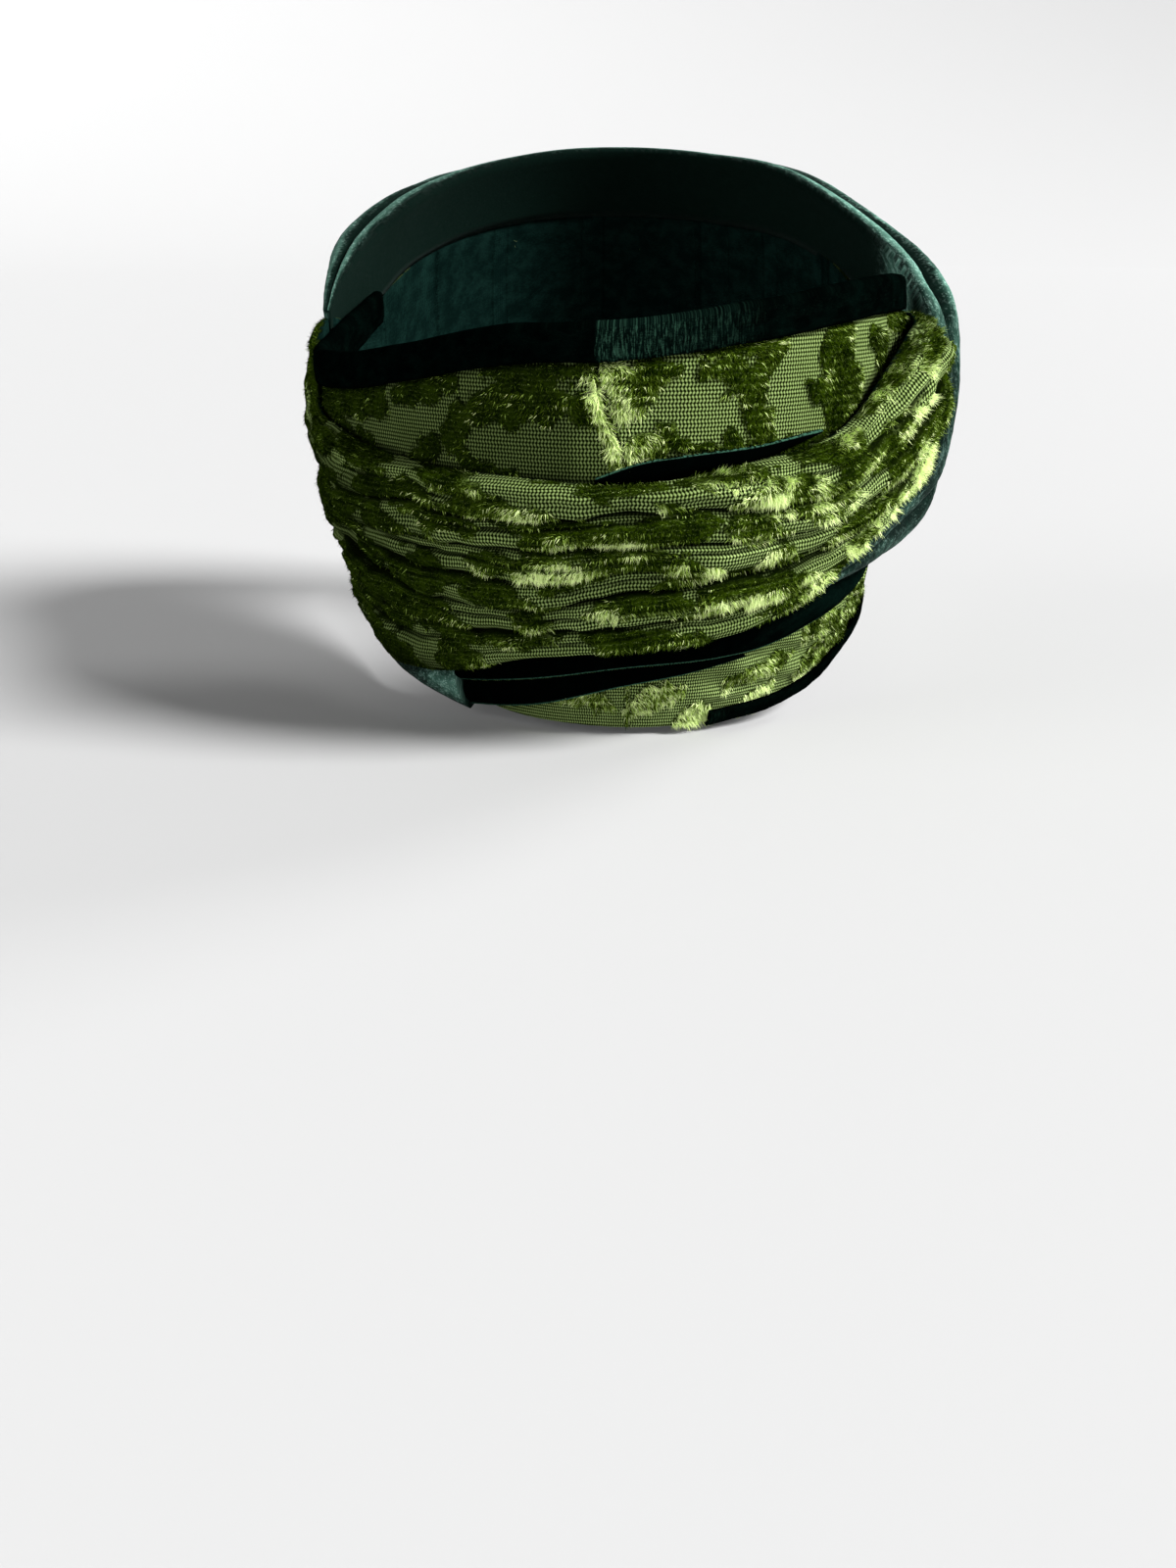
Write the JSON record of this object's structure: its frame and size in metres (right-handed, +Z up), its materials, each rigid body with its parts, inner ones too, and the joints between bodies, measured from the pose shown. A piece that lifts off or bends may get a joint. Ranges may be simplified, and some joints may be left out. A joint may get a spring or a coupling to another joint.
{
  "type": "turban headwrap",
  "caption": "Open-crown turban headwrap: a velvet-bound back band, wrapped in a long gathered devoré cloth whose velvet reverse is turned out as a roll over one side and the forehead.",
  "frame": {"origin": "middle of the head hollow, at the level where the head that it sits on is widest", "axes": "+Z up, +Y the way the wearer faces, +X towards the wearer's right"},
  "size_m": [0.1929, 0.212, 0.1536],
  "materials": {
    "devore_cloth": "burnt-out velvet: bright silky pile scrolls on a fine flat knit ground",
    "dark_velvet": "short dense velvet pile, nearly black green",
    "teal_velvet": "short crushed velvet pile with a pale sheen"
  },
  "bodies": {
    "root": {"back_panel_left": "devore_cloth", "back_panel_right": "devore_cloth", "top_binding_left": "dark_velvet", "top_binding_right": "teal_velvet", "nape_binding": "dark_velvet", "gathered_wrap": "devore_cloth", "wrap_top_border": "teal_velvet", "border_strip_upper": "dark_velvet", "border_strip_lower": "dark_velvet", "lower_border": "teal_velvet", "velvet_roll": "teal_velvet"}
  },
  "joints": []
}
